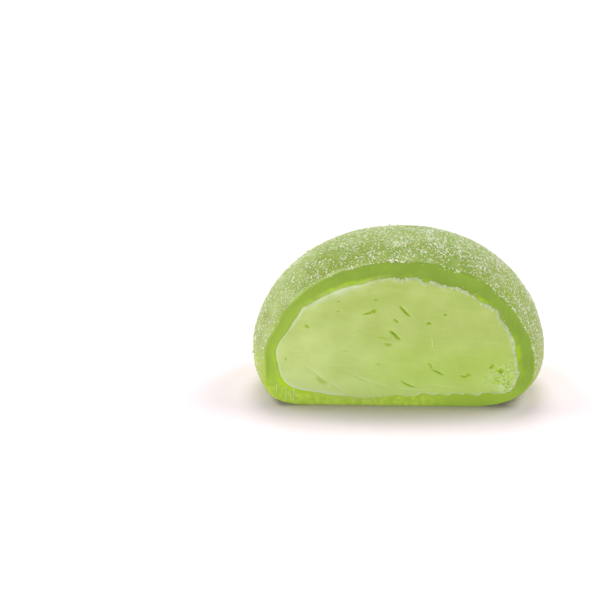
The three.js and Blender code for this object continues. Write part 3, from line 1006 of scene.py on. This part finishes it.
streak_points = streak_places[:, None, None] + np.einsum("nabi,nij->nabj", local, streak_axes)
sticking_out = np.maximum(CUT_Y - PAST_CUT - streak_points[..., 1].min((1, 2)), 0)
streak_points[..., 1] += sticking_out[:, None, None]
whiteness = whitenesses(draw, streak_places, 1.5, 1.1)
add_starch("starch_streaks", streak_points, tube_faces(streak_points), whiteness)

# Grains: short clots all over, and more of them along the cut edge, where some hang over it.
grain_places, grain_normals = scatter(draw, GRAIN_COUNT, 4.0, 0.5, 0.7)
fringe_turn = draw.uniform(0, 2 * np.pi, 12 * FRINGE_COUNT)
fringe_chance = (0.05 + bumps(fringe_turn, FRINGE_PLACES)) * (0.1 + ragged(fringe_turn, 75, 82) ** 3)
fringe_turn = fringe_turn[pick(draw, FRINGE_COUNT, fringe_chance)]
fringe_tilt = np.abs(draw.normal(0, 0.012, FRINGE_COUNT))
fringe_drop = np.abs(draw.normal(0.0, 0.14, FRINGE_COUNT)) * (1 + bumps(fringe_turn, FRINGE_HANGING))
fringe_ways = ray_way(fringe_turn, 0.0)
fringe_places = outside_points(fringe_turn, fringe_tilt) - fringe_ways * fringe_drop[:, None]
fringe_places[:, 1] = np.maximum(fringe_places[:, 1], CUT_Y + 0.07)
above_base = fringe_places[:, 2] > FRINGE_TOP
grain_places = np.concatenate([grain_places, fringe_places[above_base]])
grain_normals = np.concatenate([grain_normals, (fringe_ways * 0.7 - [0, 0.7, 0])[above_base]])
grain_count = len(grain_places)
grain_size = GRAIN_SIZE * np.exp(draw.normal(0, 0.3, grain_count))
grain_shape = [draw.uniform(*limits, grain_count) for limits in ((0.9, 1.5), (0.8, 1.15), (0.6, 0.9))]
grain_sizes = grain_size[:, None] * join(*grain_shape)
grain_middles = grain_places + grain_normals * grain_sizes[:, 2:] * 0.45
grain_axes = lying_axes(draw, grain_normals)
grain_lumps = lumps(grain_middles, grain_sizes, grain_axes, 83, GRAIN_CORNERS)
add_starch("starch_grains", grain_lumps, tube_faces(grain_lumps), whitenesses(draw, grain_places, 1.6, 1.2))

# Dust: single specks between the clots, each a tiny eight-sided crystal.
dust_places, dust_normals = scatter(draw, DUST_COUNT, 3.5, 0.4, 0.8, -0.25)
dust_size = np.minimum(DUST_SIZE * np.exp(draw.normal(0, 0.35, DUST_COUNT)), 0.1)[:, None]
corners = np.array([[1, 0, 0], [0, 1, 0], [-1, 0, 0], [0, -1, 0], [0, 0, 1], [0, 0, -1]], float)
faces = np.array([[0, 1, 4], [1, 2, 4], [2, 3, 4], [3, 0, 4], [1, 0, 5], [2, 1, 5], [3, 2, 5], [0, 3, 5]])
dust_axes = lying_axes(draw, dust_normals)
dust_shape = corners[None] * (dust_size * draw.uniform(0.7, 1.4, (DUST_COUNT, 3)))[:, None]
dust_middles = dust_places + dust_normals * dust_size * 0.4
dust_points = dust_middles[:, None] + np.einsum("nki,nij->nkj", dust_shape, dust_axes)
dust_faces = (faces[None] + len(corners) * np.arange(DUST_COUNT)[:, None, None]).reshape(-1, 3)
add_starch("starch_dust", dust_points, [dust_faces], whitenesses(draw, dust_places, 1.3, 0.9))

# Clots: a few round balls of starch, up to 0.4 mm across.
clot_places, clot_normals = scatter(draw, CLOT_COUNT, 6.0, 0.3)
clot_size = draw.uniform(*CLOT_SIZES, CLOT_COUNT)[:, None]
clot_middles = clot_places + clot_normals * clot_size * 0.25
clot_sizes = clot_size * np.array([1.0, 1.0, 0.7])
clot_axes = lying_axes(draw, clot_normals)
clot_lumps = lumps(clot_middles, clot_sizes, clot_axes, 84, CLOT_CORNERS)
add_starch("starch_clots", clot_lumps, tube_faces(clot_lumps), draw.uniform(0.7, 0.95, CLOT_COUNT))


# --------------------
# The studio: a plain pale floor, soft lights from above and behind that cast the shadow forwards,
# a soft light from the front left, and a long lens that looks down a little.
FLOOR_HALF_SIZE = 6000.0
WALL_LIGHT = 0.7
CEILING_LIGHT = 0.05
WALL_TOP = 0.4
SEEN_WHITE = 1.1
IMAGE_WIDTH = 600
SENSOR_WIDTH = 36.0
PIXELS_PER_MILLIMETRE = 6.44
CAMERA_DISTANCE = 420.0
CAMERA_AZIMUTH = np.radians(1.67)
CAMERA_ELEVATION = np.radians(17.78)
CAMERA_AIM = np.array([-15.24, -3.33, 12.82])
# The lights: azimuth from the front and elevation, both in degrees, strength, breadth in degrees, and colour.
LIGHTS = {
    "back_light": (180, 58, 1.8, 34, (1, 1, 1)),
    "left_light": (-115, 47, 1.4, 32, (1, 1, 1)),
    "right_light": (113, 45, 1.8, 32, (1, 1, 1)),
    "front_light": (-24, 2, 2.7, 40, (1, 0.96, 0.97)),
}

floor_material = bpy.data.materials.new("pale_floor")
floor_material.use_nodes = True
floor_looks = {"Base Color": (0.92, 0.83, 0.87, 1.0), "Roughness": 0.9, "Specular IOR Level": 0.0}
connect(floor_material.node_tree, floor_material.node_tree.nodes["Principled BSDF"], floor_looks)
floor_ways = np.array([(-1, -1, 0), (1, -1, 0), (1, 1, 0), (-1, 1, 0)])
floor = make_mesh("floor", FLOOR_HALF_SIZE * floor_ways, [np.array([[0, 1, 2, 3]])], floor_material)

# A white room, dim towards the ceiling, whose walls are plain white where they are seen.
world = bpy.data.worlds.new("white_room")
bpy.context.scene.world = world
world.use_nodes = True
room = world.node_tree
direction = add_node(room, "TexCoord", {}).outputs["Generated"]
height = add_node(room, "SeparateXYZ", {"Vector": direction}).outputs["Z"]
walls = {"Value": height, "From Max": WALL_TOP, "To Min": WALL_LIGHT, "To Max": CEILING_LIGHT}
unseen = add_node(room, "MapRange", walls).outputs["Result"]
seen = add_node(room, "LightPath", {}).outputs["Is Camera Ray"]
brightness = add_node(room, "MapRange", {"Value": seen, "To Min": unseen, "To Max": SEEN_WHITE})
glow = {"Color": (1, 1, 1, 1), "Strength": brightness.outputs["Result"]}
connect(room, room.nodes["Background"], glow)

for name, (azimuth, elevation, strength, breadth, colour) in LIGHTS.items():
    light = bpy.data.lights.new(name, "SUN")
    light.energy = strength
    light.angle = np.radians(breadth)
    light.color = colour
    lamp = bpy.data.objects.new(name, light)
    lamp.rotation_euler = (np.radians(90 - elevation), 0, np.radians(azimuth))
    bpy.context.scene.collection.objects.link(lamp)

camera_data = bpy.data.cameras.new("camera")
camera_data.sensor_width = SENSOR_WIDTH
camera_data.lens = PIXELS_PER_MILLIMETRE * CAMERA_DISTANCE / IMAGE_WIDTH * SENSOR_WIDTH
camera_data.clip_start = 0.01
camera_data.clip_end = 50
camera = bpy.data.objects.new("camera", camera_data)
level = np.array([np.sin(CAMERA_AZIMUTH), -np.cos(CAMERA_AZIMUTH), 0])
backwards = level * np.cos(CAMERA_ELEVATION) + [0, 0, np.sin(CAMERA_ELEVATION)]
camera.location = (CAMERA_AIM + backwards * CAMERA_DISTANCE) * MILLIMETRE
camera.rotation_euler = (np.pi / 2 - CAMERA_ELEVATION, 0, CAMERA_AZIMUTH)
bpy.context.scene.collection.objects.link(camera)
bpy.context.scene.camera = camera
bpy.context.scene.view_settings.view_transform = "Standard"
